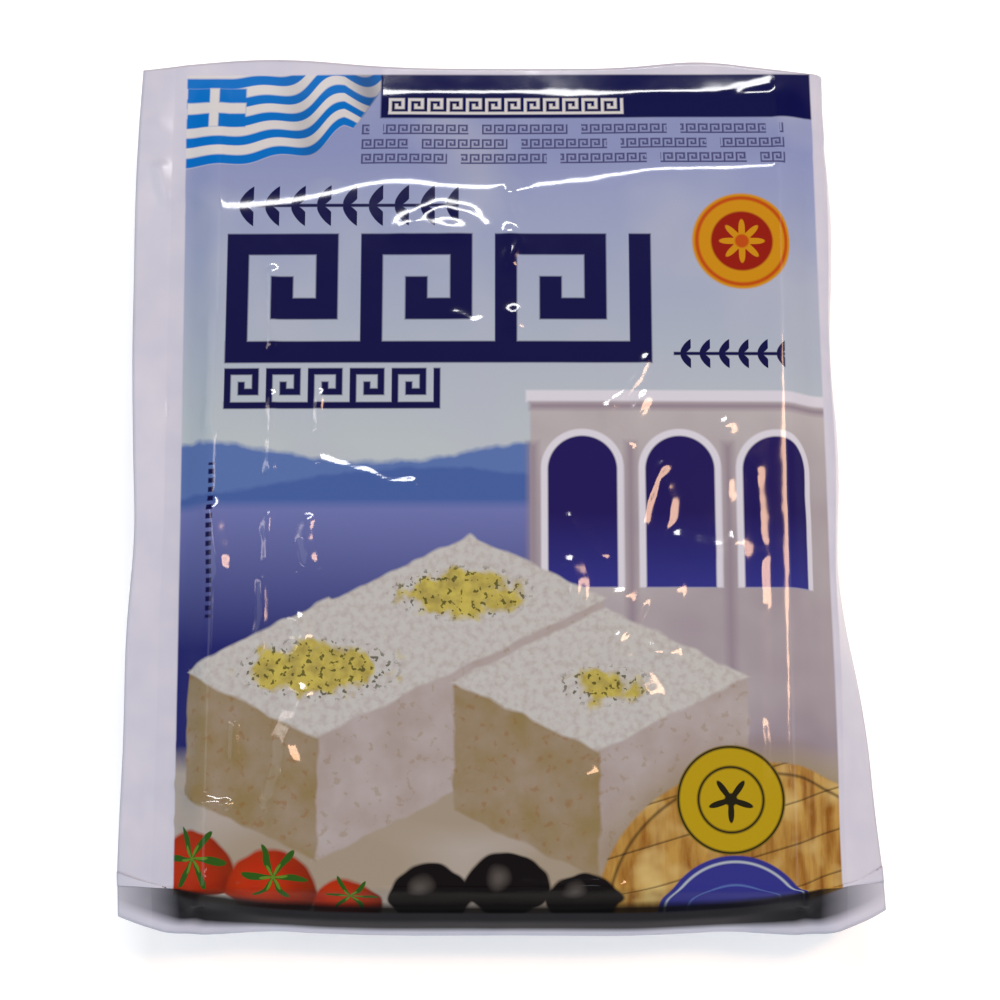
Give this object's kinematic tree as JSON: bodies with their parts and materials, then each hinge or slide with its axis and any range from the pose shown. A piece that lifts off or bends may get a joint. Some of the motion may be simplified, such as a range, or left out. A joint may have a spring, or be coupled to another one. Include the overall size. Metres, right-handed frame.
{
  "type": "sealed film pack of block cheese",
  "caption": "Shut, printed film pouch drawn tight round a flat block of white cheese, with welded margins, lying on its back.",
  "frame": {"origin": "middle of the pack's outline, on the surface that its back lies on", "axes": "+X across the printed front to its right, +Y to the top edge of the print, +Z out of the printed front"},
  "size_m": [0.1404, 0.167, 0.0256],
  "materials": {
    "film": "gloss"
  },
  "bodies": {
    "root": {"pouch": "film"}
  },
  "joints": []
}
